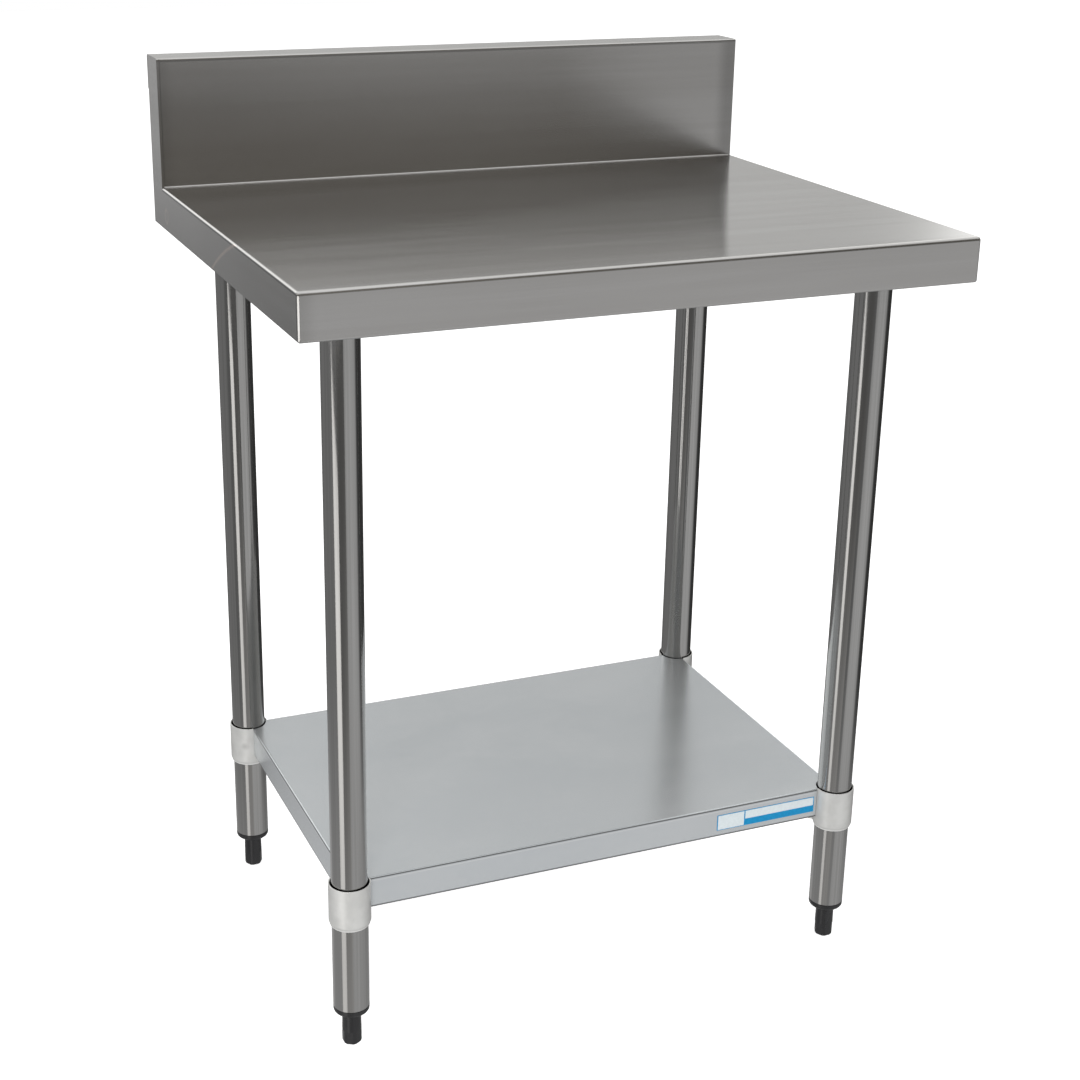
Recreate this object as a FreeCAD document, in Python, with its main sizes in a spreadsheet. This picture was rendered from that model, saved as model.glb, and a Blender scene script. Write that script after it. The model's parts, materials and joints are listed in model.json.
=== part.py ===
import FreeCAD, Part
import os
import Sketcher
from FreeCAD import Placement, Rotation, Vector

# Stainless work table with a splashback, four round legs and a height-adjustable undershelf.
# Frame: +X to the right along the front, +Y to the back, +Z up; origin on the floor under the
# middle of the table's outline. Millimetres.

DIMENSIONS = [
    ("width", 762, "outline along X"),
    ("depth", 610, "outline along Y"),
    ("work_height", 900, "floor to work surface"),
    ("splash_rise", 150, "splashback above the work surface"),
    ("splash_depth", 50, "splashback front to back"),
    ("apron", 50, "turned-down edge of the top"),
    ("sheet", 1.2, "top sheet thickness"),
    ("bend", 2.6, "outer bend radius of the top sheet"),
    ("front_bend", 4.2, "outer bend radius along the front of the work surface"),
    ("cove", 1.8, "radius where the deck turns up into the splashback"),
    ("hem", 12, "inward return under the aprons"),
    ("back_turn", 40, "down-turn behind the splashback"),
    ("cap_flange", 14, "inward flange of a splashback end cap"),
    ("leg_x", 311, "leg axis to the middle plane"),
    ("leg_front", 213, "front leg axes ahead of the middle plane"),
    ("leg_back", 211, "back leg axes behind the middle plane"),
    ("leg_radius", 20.65, "leg tube outer radius"),
    ("leg_wall", 1.2, "leg tube wall"),
    ("leg_foot", 50, "lower end of a leg tube"),
    ("channel_width", 90, "hat channel web width"),
    ("channel_flange", 15, "hat channel side flange"),
    ("channel_depth", 28, "hat channel depth"),
    ("channel_bend", 2.4, "outer bend radius of the hat channels and the undershelf rib"),
    ("channel_front", 290, "cross channel reach to the front"),
    ("channel_back", 250, "cross channel reach to the back"),
    ("rib_reach", 248, "half length of the middle channel"),
    ("socket_plate", 84, "leg socket flange, square"),
    ("socket_corner", 8, "leg socket flange corner radius"),
    ("socket_thick", 4, "leg socket flange thickness"),
    ("socket_radius", 24.5, "leg socket cup outer radius"),
    ("socket_drop", 30, "leg socket cup below its flange"),
    ("socket_gap", 0.3, "cup bore to leg, on radius"),
    ("socket_round", 1, "rounding of a leg socket's rim and flange"),
    ("bolt_spread", 33, "socket bolt to leg axis, along X and Y"),
    ("bolt_radius", 3, "socket bolt shank radius"),
    ("bolt_hole", 3.3, "clearance hole radius for a socket bolt"),
    ("bolt_head", 5.5, "socket bolt head radius"),
    ("bolt_head_rise", 3.5, "socket bolt head height"),
    ("bolt_end", 1, "socket bolt end past its nut"),
    ("nut_ring", 5.5, "clinch nut outer radius"),
    ("nut_rise", 5, "clinch nut height"),
    ("nut_gap", 0.05, "thread clearance in a nut, on radius"),
    ("grub_radius", 4, "grub screw radius"),
    ("grub_length", 9, "grub screw length"),
    ("grub_key", 2.3, "grub screw hexagon socket, corner radius"),
    ("grub_key_depth", 4, "grub screw hexagon socket depth"),
    ("boss_radius", 7, "screw boss radius"),
    ("socket_boss_reach", 30, "socket screw boss to leg axis"),
    ("socket_boss_below", 15, "socket screw below the flange"),
    ("plug_radius", 19.3, "foot plug inside the tube"),
    ("plug_rise", 34, "foot plug length inside the tube"),
    ("plug_lip", 8, "foot plug lip below the tube"),
    ("plug_round", 4.6, "rounding under the lip"),
    ("plug_bore", 5.6, "stud clearance bore radius"),
    ("nut_corner", 9.2, "foot nut corner radius"),
    ("nut_seat", 22, "foot nut seat above the tube end"),
    ("nut_pocket_gap", 0.15, "foot nut to its pocket, at the corners"),
    ("foot_nut_rise", 8, "foot nut height"),
    ("stud_radius", 5, "foot stud radius"),
    ("stud_top", 108, "upper end of a foot stud"),
    ("stud_seat", 22, "lower end of a foot stud"),
    ("foot_top", 41.8, "upper end of a foot stem"),
    ("foot_top_radius", 10.7, "foot stem radius at the top"),
    ("foot_low_radius", 11.1, "foot stem radius near the floor"),
    ("foot_round", 3, "rounding at the foot's lower edge"),
    ("foot_flat", 10.5, "spanner flats to the stem axis"),
    ("foot_flat_rise", 17, "upper end of the spanner flats"),
    ("shelf_top", 206.5, "undershelf surface"),
    ("shelf_apron", 38, "undershelf turned-down edge"),
    ("shelf_sheet", 1, "undershelf sheet thickness"),
    ("shelf_bend", 2.2, "outer bend radius of the undershelf"),
    ("shelf_hem", 11, "inward return under the undershelf aprons"),
    ("collar_top", 207.5, "upper end of a leg collar"),
    ("collar_height", 51.5, "leg collar height"),
    ("collar_radius", 23.8, "leg collar outer radius"),
    ("collar_bore", 22.2, "leg collar bore radius"),
    ("collar_throat", 21.05, "leg collar bore radius at its lower end"),
    ("collar_throat_rise", 5, "height of the narrower lower end of the bore"),
    ("collar_seat", 0.4, "ends of the undershelf's aprons to the collars"),
    ("collar_taper_rise", 4.4, "height of the taper under a collar"),
    ("collar_low_radius", 22.3, "leg collar outer radius at its lower end"),
    ("collar_round", 0.6, "rounding of a collar's upper rim"),
    ("collar_boss_reach", 28.5, "collar screw boss to leg axis"),
    ("collar_boss_below", 44, "collar screw below the collar top"),
    ("collar_grub_gap", 0.3, "collar grub screw tip to leg"),
    ("wing_reach", 56, "collar wing to leg axis"),
    ("wing_thick", 2.6, "collar wing thickness"),
    ("wing_height", 28, "collar wing height"),
    ("wing_margin", 2.5, "collar wing below the shelf sheet"),
    ("rib_width", 60, "undershelf rib width"),
    ("rib_depth", 18, "undershelf rib depth"),
    ("rib_flange", 12, "undershelf rib flange"),
    ("rib_end", 262, "half length of the undershelf rib"),
    ("label_middle", 216.5, "blank plate, middle along X"),
    ("label_width", 133, "blank plate width"),
    ("label_height", 20, "blank plate height"),
    ("label_low", 177.3, "blank plate lower edge"),
    ("label_thick", 0.4, "blank plate thickness"),
]

# Corner name, leg axis, and the quarter turn that points a fitting's inner side at the middle.
CORNERS = [
    ("front_left", "-Dims.leg_x", "-Dims.leg_front", 0),
    ("front_right", "Dims.leg_x", "-Dims.leg_front", 90),
    ("back_right", "Dims.leg_x", "Dims.leg_back", 180),
    ("back_left", "-Dims.leg_x", "Dims.leg_back", 270),
]

# Heights and planes that several pieces share.
DECK_UNDER = "Dims.work_height - Dims.sheet"
APRON_LOW = "Dims.work_height - Dims.apron"
SPLASH_TOP = "Dims.work_height + Dims.splash_rise"
SPLASH_FRONT = "Dims.depth / 2 - Dims.splash_depth"
CAP_FRONT = SPLASH_FRONT + " + Dims.sheet"
BACK_TURN_LOW = SPLASH_TOP + " - Dims.back_turn"
WEB_LOW = DECK_UNDER + " - Dims.channel_depth"
SOCKET_CEILING = WEB_LOW + " - Dims.socket_thick"
SHELF_UNDER = "Dims.shelf_top - Dims.shelf_sheet"
SHELF_LOW = "Dims.shelf_top - Dims.shelf_apron"
COLLAR_LOW = "Dims.collar_top - Dims.collar_height"

UP = Vector(0, 0, 1)
DIAGONAL = 45
HEXAGON_STEP = 60
TOUCH = 1e-3

doc = FreeCAD.newDocument("work_table")
pieces = []


# ---------------------------------------------------------------- document helpers

def make_sheet():
    sheet = doc.addObject("Spreadsheet::Sheet", "Dims")
    for row, (alias, value, note) in enumerate(DIMENSIONS, start=1):
        sheet.set(f"A{row}", alias)
        sheet.set(f"B{row}", str(value))
        sheet.set(f"C{row}", note)
        sheet.setAlias(f"B{row}", alias)
    doc.recompute()
    return sheet


def size(expression):
    """Present value of an expression over the sheet's cells."""
    return float(dims.evalExpression(expression.replace("Dims.", "")))


def bind(item, **expressions):
    for prop, expression in expressions.items():
        item.setExpression(prop, expression)


def place(item, along_x="0", along_y="0", along_z="0", turn=None):
    if turn is not None:
        item.Placement = Placement(Vector(), turn)
    for axis, expression in zip("xyz", (along_x, along_y, along_z)):
        item.setExpression(f"Placement.Base.{axis}", expression)


def keep(item, label):
    item.Label = label
    pieces.append(item)
    return item


def new_body(label):
    return keep(doc.addObject("PartDesign::Body", label), label)


def new_sketch(body, name, plane, offset="0"):
    """Sketch on one of the body's origin planes, moved along its normal."""
    sketch = body.newObject("Sketcher::SketchObject", name)
    support = next(item for item in body.Origin.OriginFeatures if item.Role == plane)
    sketch.AttachmentSupport = [(support, "")]
    sketch.MapMode = "FlatFace"
    sketch.setExpression("AttachmentOffset.Base.z", offset)
    return sketch


def locate(sketch, geometry, point, along, across):
    """Bind a sketch point to the sketch's origin."""
    for kind, axis, expression in (("DistanceX", -2, along), ("DistanceY", -1, across)):
        if size(expression) == 0:
            sketch.addConstraint(Sketcher.Constraint("PointOnObject", geometry, point, axis))
            continue
        index = sketch.addConstraint(
            Sketcher.Constraint(kind, -1, 1, geometry, point, size(expression)))
        sketch.setExpression(f"Constraints[{index}]", expression)


def outline(sketch, corners):
    """Closed polygon whose corners are pairs of expressions."""
    first = sketch.GeometryCount
    count = len(corners)
    points = [Vector(size(along), size(across), 0) for along, across in corners]
    for index in range(count):
        sketch.addGeometry(Part.LineSegment(points[index - 1], points[index]), False)
    for index in range(count):
        following = first + (index + 1) % count
        sketch.addConstraint(Sketcher.Constraint("Coincident", first + index, 2, following, 1))
    for index, (along, across) in enumerate(corners):
        locate(sketch, first + index, 2, along, across)


def rectangle(sketch, low, high):
    outline(sketch, [low, (high[0], low[1]), high, (low[0], high[1])])


def circle(sketch, radius, along="0", across="0"):
    centre = Vector(size(along), size(across), 0)
    geometry = sketch.addGeometry(Part.Circle(centre, UP, size(radius)), False)
    index = sketch.addConstraint(Sketcher.Constraint("Radius", geometry, size(radius)))
    sketch.setExpression(f"Constraints[{index}]", radius)
    locate(sketch, geometry, 3, along, across)


def extrude(kind, body, sketch, length, reverse=False, middle=False):
    """Pad or Pocket of a sketch; checks that it really added or took material."""
    before = body.Shape.Volume if body.Shape.Solids else 0
    feature = body.newObject(f"PartDesign::{kind}", f"{sketch.Name}_{kind.lower()}")
    feature.Profile = sketch
    feature.setExpression("Length", length)
    feature.Reversed = reverse
    feature.SideType = "Symmetric" if middle else "One side"
    sketch.Visibility = False
    doc.recompute()
    gained = body.Shape.Volume - before
    if (kind == "Pad") != (gained > 0) or gained == 0:
        raise RuntimeError(f"{body.Label}: {feature.Name} changed the volume by {gained:.3f}")
    return feature


def revolve(body, sketch):
    """Turn a section drawn on the XZ plane once around the vertical axis."""
    feature = body.newObject("PartDesign::Revolution", f"{sketch.Name}_turn")
    feature.Profile = sketch
    feature.ReferenceAxis = (sketch, ["V_Axis"])
    sketch.Visibility = False
    doc.recompute()
    return feature


def edges_through(item, points):
    """Names of the edges of an item that pass through the given points."""
    names = []
    for point in points:
        vertex = Part.Vertex(Vector(*(size(part) for part in point)))
        near = [index for index, edge in enumerate(item.Shape.Edges, start=1)
                if edge.distToShape(vertex)[0] < TOUCH]
        if len(near) != 1:
            raise RuntimeError(f"{item.Label}: {len(near)} edges at {point}")
        names.append(f"Edge{near[0]}")
    return names


def dress(kind, body, name, points, amount):
    """Fillet or Chamfer of the body's edges through the given points."""
    base = body.Tip
    names = edges_through(base, points)
    feature = body.newObject(f"PartDesign::{kind}", name)
    feature.Base = (base, names)
    feature.setExpression("Radius" if kind == "Fillet" else "Size", amount)
    doc.recompute()
    return feature


def primitive(kind, name, **expressions):
    item = doc.addObject(f"Part::{kind}", name)
    bind(item, **expressions)
    return item


def combine(kind, name, base, tool):
    item = doc.addObject(f"Part::{kind}", name)
    if kind == "MultiFuse":
        item.Shapes = [base, *tool]
    else:
        item.Base = base
        item.Tool = tool
    doc.recompute()
    return item


def round_edges(name, base, names, radius):
    """Part fillet of the named edges of a finished shape."""
    item = doc.addObject("Part::Fillet", name)
    item.Base = base
    item.Edges = [(int(edge.removeprefix("Edge")), size(radius), size(radius)) for edge in names]
    doc.recompute()
    return item


# ---------------------------------------------------------------- folded top

def work_top():
    """Deck, aprons and splashback folded from one sheet, open below and behind."""
    body = new_body("work_top")

    blank = new_sketch(body, "top_blank", "YZ_Plane")
    outline(blank, [
        ("-Dims.depth / 2", APRON_LOW),
        ("-Dims.depth / 2", "Dims.work_height"),
        (SPLASH_FRONT, "Dims.work_height"),
        (SPLASH_FRONT, SPLASH_TOP),
        ("Dims.depth / 2", SPLASH_TOP),
        ("Dims.depth / 2", APRON_LOW),
    ])
    extrude("Pad", body, blank, "Dims.width", middle=True)

    hollow = new_sketch(body, "top_hollow", "YZ_Plane")
    outline(hollow, [
        ("-Dims.depth / 2 + Dims.sheet", APRON_LOW),
        ("-Dims.depth / 2 + Dims.sheet", DECK_UNDER),
        (CAP_FRONT, DECK_UNDER),
        (CAP_FRONT, SPLASH_TOP + " - Dims.sheet"),
        ("Dims.depth / 2 - Dims.sheet", SPLASH_TOP + " - Dims.sheet"),
        ("Dims.depth / 2 - Dims.sheet", BACK_TURN_LOW),
        ("Dims.depth / 2", BACK_TURN_LOW),
        ("Dims.depth / 2", APRON_LOW),
    ])
    extrude("Pocket", body, hollow, "Dims.width - 2 * Dims.sheet", middle=True)

    cap_seat = new_sketch(body, "top_cap_seat", "YZ_Plane")
    outline(cap_seat, cap_outline())
    extrude("Pocket", body, cap_seat, "Dims.width", middle=True)

    hem = new_sketch(body, "top_hem", "XY_Plane", APRON_LOW)
    outline(hem, [
        ("-Dims.width / 2", CAP_FRONT),
        ("-Dims.width / 2", "-Dims.depth / 2"),
        ("Dims.width / 2", "-Dims.depth / 2"),
        ("Dims.width / 2", CAP_FRONT),
        ("Dims.width / 2 - Dims.hem", CAP_FRONT),
        ("Dims.width / 2 - Dims.hem", "-Dims.depth / 2 + Dims.hem"),
        ("-Dims.width / 2 + Dims.hem", "-Dims.depth / 2 + Dims.hem"),
        ("-Dims.width / 2 + Dims.hem", CAP_FRONT),
    ])
    extrude("Pad", body, hem, "Dims.sheet")

    outer = [("0", "-Dims.depth / 2", APRON_LOW), ("0", SPLASH_FRONT, SPLASH_TOP),
             ("0", "Dims.depth / 2", SPLASH_TOP)]
    inner = [("0", CAP_FRONT, SPLASH_TOP + " - Dims.sheet"),
             ("0", "Dims.depth / 2 - Dims.sheet", SPLASH_TOP + " - Dims.sheet")]
    for side in (-1, 1):
        face = f"{side} * Dims.width / 2"
        outer += [(face, "0", "Dims.work_height"), (face, "0", APRON_LOW),
                  (face, "-Dims.depth / 2", APRON_LOW + " + Dims.apron / 2")]
        inner.append((f"{side} * (Dims.width / 2 - Dims.sheet)", "0", DECK_UNDER))
    dress("Fillet", body, "front_outer_bend", [("0", "-Dims.depth / 2", "Dims.work_height")],
          "Dims.front_bend")
    dress("Fillet", body, "front_inner_bend",
          [("0", "-Dims.depth / 2 + Dims.sheet", DECK_UNDER)], "Dims.front_bend - Dims.sheet")
    dress("Fillet", body, "top_outer_bends", outer, "Dims.bend")
    dress("Fillet", body, "top_inner_bends", inner, "Dims.bend - Dims.sheet")

    cove_front = SPLASH_FRONT + " - Dims.cove"
    cove_top = "Dims.work_height + Dims.cove"
    cove = new_sketch(body, "top_cove", "YZ_Plane")
    rectangle(cove, (cove_front, "Dims.work_height"), (SPLASH_FRONT, cove_top))
    extrude("Pad", body, cove, "Dims.width - 2 * Dims.bend", middle=True)
    sweep = new_sketch(body, "top_cove_round", "YZ_Plane")
    circle(sweep, "Dims.cove", cove_front, cove_top)
    extrude("Pocket", body, sweep, "Dims.width", middle=True)


def cap_outline():
    """Side view of a splashback end cap, down to the bottom of the aprons."""
    return [
        (CAP_FRONT, APRON_LOW),
        (CAP_FRONT, SPLASH_TOP + " - Dims.sheet"),
        ("Dims.depth / 2 - Dims.sheet", SPLASH_TOP + " - Dims.sheet"),
        ("Dims.depth / 2 - Dims.sheet", BACK_TURN_LOW),
        ("Dims.depth / 2", BACK_TURN_LOW),
        ("Dims.depth / 2", APRON_LOW),
    ]


def splash_cap(side_name, sign):
    """Welded end plate with an inward flange at the back and a lip underneath."""
    body = new_body(f"splash_cap_{side_name}")
    inward = sign > 0
    face = f"{sign} * Dims.width / 2"
    plate = new_sketch(body, f"cap_plate_{side_name}", "YZ_Plane", face)
    outline(plate, cap_outline())
    extrude("Pad", body, plate, "Dims.sheet", reverse=inward)
    flange = new_sketch(body, f"cap_flange_{side_name}", "YZ_Plane", face)
    rectangle(flange, ("Dims.depth / 2 - Dims.sheet", APRON_LOW), ("Dims.depth / 2", BACK_TURN_LOW))
    extrude("Pad", body, flange, "Dims.cap_flange", reverse=inward)
    lip = new_sketch(body, f"cap_lip_{side_name}", "YZ_Plane", face)
    rectangle(lip, (CAP_FRONT, APRON_LOW), ("Dims.depth / 2", APRON_LOW + " + Dims.sheet"))
    extrude("Pad", body, lip, "Dims.hem", reverse=inward)
    corner = [(face, "Dims.depth / 2", APRON_LOW + " + Dims.apron / 2"),
              (face, "Dims.depth / 2 - Dims.splash_depth / 2", APRON_LOW)]
    dress("Fillet", body, f"cap_bend_{side_name}", corner, "Dims.bend")


# ---------------------------------------------------------------- frame under the top

def hat_section(width, flange, top, low, wall):
    """Closed section of a hat channel: flanges at the top, web at the bottom."""
    half = f"({width}) / 2"
    tip = f"({half} + {flange})"
    right = [(tip, top), (tip, f"{top} - {wall}"), (half, f"{top} - {wall}"), (half, low)]
    left = [("-" + along, height) for along, height in reversed(right)]
    inside = [(f"-{half} + {wall}", top), (f"-{half} + {wall}", f"{low} + {wall}"),
              (f"{half} - {wall}", f"{low} + {wall}"), (f"{half} - {wall}", top)]
    return right + left + inside


def socket_bolt_spots(axes):
    """Bolt centres around each leg axis."""
    spots = []
    for axis_x, axis_y in axes:
        for side_x in ("-", "+"):
            for side_y in ("-", "+"):
                spots.append((f"{axis_x} {side_x} Dims.bolt_spread",
                              f"{axis_y} {side_y} Dims.bolt_spread"))
    return spots


def bend_hat(body, name, corner, width, top, low, wall):
    """Round the four folds of a padded hat section; corner turns a fold's place into a point."""
    half = f"({width}) / 2"
    outer = []
    inner = []
    for side in ("-", ""):
        outer.append(corner(f"{side}{half}", low))
        outer.append(corner(f"{side}({half} - {wall})", top))
        inner.append(corner(f"{side}({half} - {wall})", f"{low} + {wall}"))
        inner.append(corner(f"{side}{half}", f"{top} - {wall}"))
    dress("Fillet", body, f"{name}_outer", outer, "Dims.channel_bend")
    dress("Fillet", body, f"{name}_inner", inner, f"Dims.channel_bend - {wall}")


def cross_channel(side_name, axis_x):
    """Hat channel under the deck that ties the front leg to the back leg of one side."""
    body = new_body(f"cross_channel_{side_name}")
    section = new_sketch(body, f"channel_section_{side_name}", "XZ_Plane", "Dims.channel_front")
    points = hat_section("Dims.channel_width", "Dims.channel_flange", DECK_UNDER, WEB_LOW,
                         "Dims.sheet")
    outline(section, [(f"{axis_x} + ({along})", height) for along, height in points])
    extrude("Pad", body, section, "Dims.channel_front + Dims.channel_back", reverse=True)
    bend_hat(body, f"channel_bends_{side_name}",
             lambda along, height: (f"{axis_x} + ({along})", "0", height),
             "Dims.channel_width", DECK_UNDER, WEB_LOW, "Dims.sheet")
    holes = new_sketch(body, f"channel_holes_{side_name}", "XY_Plane", WEB_LOW)
    axes = [(axis_x, "-Dims.leg_front"), (axis_x, "Dims.leg_back")]
    for along, across in socket_bolt_spots(axes):
        circle(holes, "Dims.bolt_hole", along, across)
    extrude("Pocket", body, holes, "Dims.sheet", reverse=True)


def middle_channel():
    """Hat channel along the middle of the deck, between the two cross channels."""
    body = new_body("middle_channel")
    section = new_sketch(body, "middle_section", "YZ_Plane")
    outline(section, hat_section("Dims.channel_width", "Dims.channel_flange", DECK_UNDER,
                                 WEB_LOW, "Dims.sheet"))
    extrude("Pad", body, section, "2 * Dims.rib_reach", middle=True)
    bend_hat(body, "middle_bends", lambda along, height: ("0", along, height),
             "Dims.channel_width", DECK_UNDER, WEB_LOW, "Dims.sheet")


def radial_boss(name, radius, reach, height):
    """Round boss from the leg axis towards the middle of the table, at 45 degrees."""
    boss = primitive("Cylinder", name, Radius=radius, Height=reach)
    place(boss, along_z=height, turn=Rotation(UP, Vector(1, 1, 0)))
    return boss


def leg_socket(corner, axis_x, axis_y, turn):
    """Cast cup on a square flange; the leg stands against the flange inside the cup."""
    name = f"leg_socket_{corner}"
    height = "Dims.socket_thick + Dims.socket_drop"
    plate = primitive("Box", f"{name}_plate", Length="Dims.socket_plate",
                      Width="Dims.socket_plate", Height="Dims.socket_thick")
    place(plate, "-Dims.socket_plate / 2", "-Dims.socket_plate / 2", SOCKET_CEILING)
    doc.recompute()
    half = "Dims.socket_plate / 2"
    upright = edges_through(plate, [(side_x + half, side_y + half, SOCKET_CEILING + " + 1")
                                    for side_x in ("-", "") for side_y in ("-", "")])
    rounded = round_edges(f"{name}_rounded", plate, upright, "Dims.socket_corner")
    cup = primitive("Cylinder", f"{name}_cup", Radius="Dims.socket_radius", Height=height)
    place(cup, along_z=SOCKET_CEILING + " - Dims.socket_drop")
    screw_height = SOCKET_CEILING + " - Dims.socket_boss_below"
    boss = radial_boss(f"{name}_boss", "Dims.boss_radius", "Dims.socket_boss_reach", screw_height)
    casting = combine("MultiFuse", f"{name}_casting", rounded, [cup, boss])
    bore = primitive("Cylinder", f"{name}_bore", Radius="Dims.leg_radius + Dims.socket_gap",
                     Height="Dims.socket_drop")
    place(bore, along_z=SOCKET_CEILING + " - Dims.socket_drop")
    thread = radial_boss(f"{name}_thread", "Dims.grub_radius", "Dims.socket_boss_reach",
                         screw_height)
    cuts = [bore, thread]
    for index, (along, across) in enumerate(socket_bolt_spots([("0", "0")])):
        hole = primitive("Cylinder", f"{name}_hole_{index}", Radius="Dims.bolt_hole",
                         Height="Dims.socket_thick")
        place(hole, along, across, SOCKET_CEILING)
        cuts.append(hole)
    tools = combine("MultiFuse", f"{name}_cuts", cuts[0], cuts[1:])
    rough = combine("Cut", f"{name}_rough", casting, tools)
    rims = edges_through(rough, [
        ("0", "-Dims.socket_radius", SOCKET_CEILING + " - Dims.socket_drop"),
        ("0", "-Dims.leg_radius - Dims.socket_gap", SOCKET_CEILING + " - Dims.socket_drop"),
        ("0", "-Dims.socket_plate / 2", SOCKET_CEILING)])
    item = keep(round_edges(name, rough, rims, "Dims.socket_round"), name)
    place(item, axis_x, axis_y, turn=Rotation(UP, turn))


def leg_axes():
    return [(axis_x, axis_y) for _, axis_x, axis_y, _ in CORNERS]


def socket_bolts():
    """Pan-head bolts through the socket flanges and channel webs."""
    body = new_body("socket_bolts")
    body.AllowCompound = True
    heads = new_sketch(body, "bolt_heads", "XY_Plane", SOCKET_CEILING)
    shanks = new_sketch(body, "bolt_shanks", "XY_Plane", SOCKET_CEILING)
    for along, across in socket_bolt_spots(leg_axes()):
        circle(heads, "Dims.bolt_head", along, across)
        circle(shanks, "Dims.bolt_radius", along, across)
    extrude("Pad", body, heads, "Dims.bolt_head_rise", reverse=True)
    extrude("Pad", body, shanks, "Dims.socket_thick + Dims.sheet + Dims.nut_rise + Dims.bolt_end")


def socket_nuts():
    """Round clinch nuts on the channel webs, one for each socket bolt."""
    body = new_body("socket_nuts")
    body.AllowCompound = True
    rings = new_sketch(body, "nut_rings", "XY_Plane", WEB_LOW + " + Dims.sheet")
    for along, across in socket_bolt_spots(leg_axes()):
        circle(rings, "Dims.nut_ring", along, across)
        circle(rings, "Dims.bolt_radius + Dims.nut_gap", along, across)
    extrude("Pad", body, rings, "Dims.nut_rise")


def grub_screws(label, tip, height):
    """Four hexagon-socket grub screws, each aimed at its leg at 45 degrees."""
    screws = []
    for corner, axis_x, axis_y, turn in CORNERS:
        name = f"{label}_{corner}"
        shank = primitive("Cylinder", f"{name}_shank", Radius="Dims.grub_radius",
                          Height="Dims.grub_length")
        key = primitive("Prism", f"{name}_key", Circumradius="Dims.grub_key",
                        Height="Dims.grub_key_depth")
        key.Polygon = 6
        place(key, along_z="Dims.grub_length - Dims.grub_key_depth")
        screw = combine("Cut", f"{name}_screw", shank, key)
        aim = Rotation(UP, turn + DIAGONAL)
        screw.Placement = Placement(Vector(), aim.multiply(Rotation(UP, Vector(1, 0, 0))))
        way = aim.multVec(Vector(1, 0, 0))
        place(screw, f"{axis_x} + {way.x:.6f} * ({tip})", f"{axis_y} + {way.y:.6f} * ({tip})",
              height)
        screws.append(screw)
    group = doc.addObject("Part::Compound", label)
    group.Links = screws
    keep(group, label)


# ---------------------------------------------------------------- legs and feet

def leg(corner, axis_x, axis_y):
    """Round tube from the foot plug up to the socket's flange."""
    body = new_body(f"leg_{corner}")
    ring = new_sketch(body, f"leg_ring_{corner}", "XY_Plane", "Dims.leg_foot")
    circle(ring, "Dims.leg_radius")
    circle(ring, "Dims.leg_radius - Dims.leg_wall")
    extrude("Pad", body, ring, SOCKET_CEILING + " - Dims.leg_foot")
    dress("Chamfer", body, f"leg_rim_{corner}", [("0", "Dims.leg_radius", "Dims.leg_foot")],
          "Dims.leg_wall / 2")
    place(body, axis_x, axis_y)


def foot_plug(corner, axis_x, axis_y):
    """Moulded plug pressed into the tube, with a rounded lip and a pocket for the nut."""
    body = new_body(f"foot_plug_{corner}")
    section = new_sketch(body, f"plug_section_{corner}", "XZ_Plane")
    top = "Dims.leg_foot + Dims.plug_rise"
    low = "Dims.leg_foot - Dims.plug_lip"
    outline(section, [
        ("Dims.plug_bore", low),
        ("Dims.leg_radius", low),
        ("Dims.leg_radius", "Dims.leg_foot"),
        ("Dims.plug_radius", "Dims.leg_foot"),
        ("Dims.plug_radius", top),
        ("Dims.plug_bore", top),
    ])
    revolve(body, section)
    seat = new_sketch(body, f"plug_seat_{corner}", "XY_Plane", "Dims.leg_foot + Dims.nut_seat")
    outline(seat, hexagon("Dims.nut_corner + Dims.nut_pocket_gap"))
    extrude("Pocket", body, seat, "Dims.plug_rise - Dims.nut_seat", reverse=True)
    dress("Fillet", body, f"plug_round_{corner}", [("0", "Dims.leg_radius", low)],
          "Dims.plug_round")
    place(body, axis_x, axis_y)


def hexagon(corner_radius):
    """Regular hexagon with a flat across the first axis."""
    angles = [HEXAGON_STEP * (index + 0.5) for index in range(6)]
    return [(f"({corner_radius}) * cos({angle} deg)", f"({corner_radius}) * sin({angle} deg)")
            for angle in angles]


def foot_nuts():
    """Hexagon nuts held in the foot plugs."""
    body = new_body("foot_nuts")
    body.AllowCompound = True
    height = "Dims.leg_foot + Dims.nut_seat"
    shapes = new_sketch(body, "foot_nut_shapes", "XY_Plane", height)
    for _, axis_x, axis_y, _ in CORNERS:
        outline(shapes, [(f"{axis_x} + {along}", f"{axis_y} + {across}")
                         for along, across in hexagon("Dims.nut_corner")])
        circle(shapes, "Dims.stud_radius + Dims.nut_gap", axis_x, axis_y)
    extrude("Pad", body, shapes, "Dims.foot_nut_rise")


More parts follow.
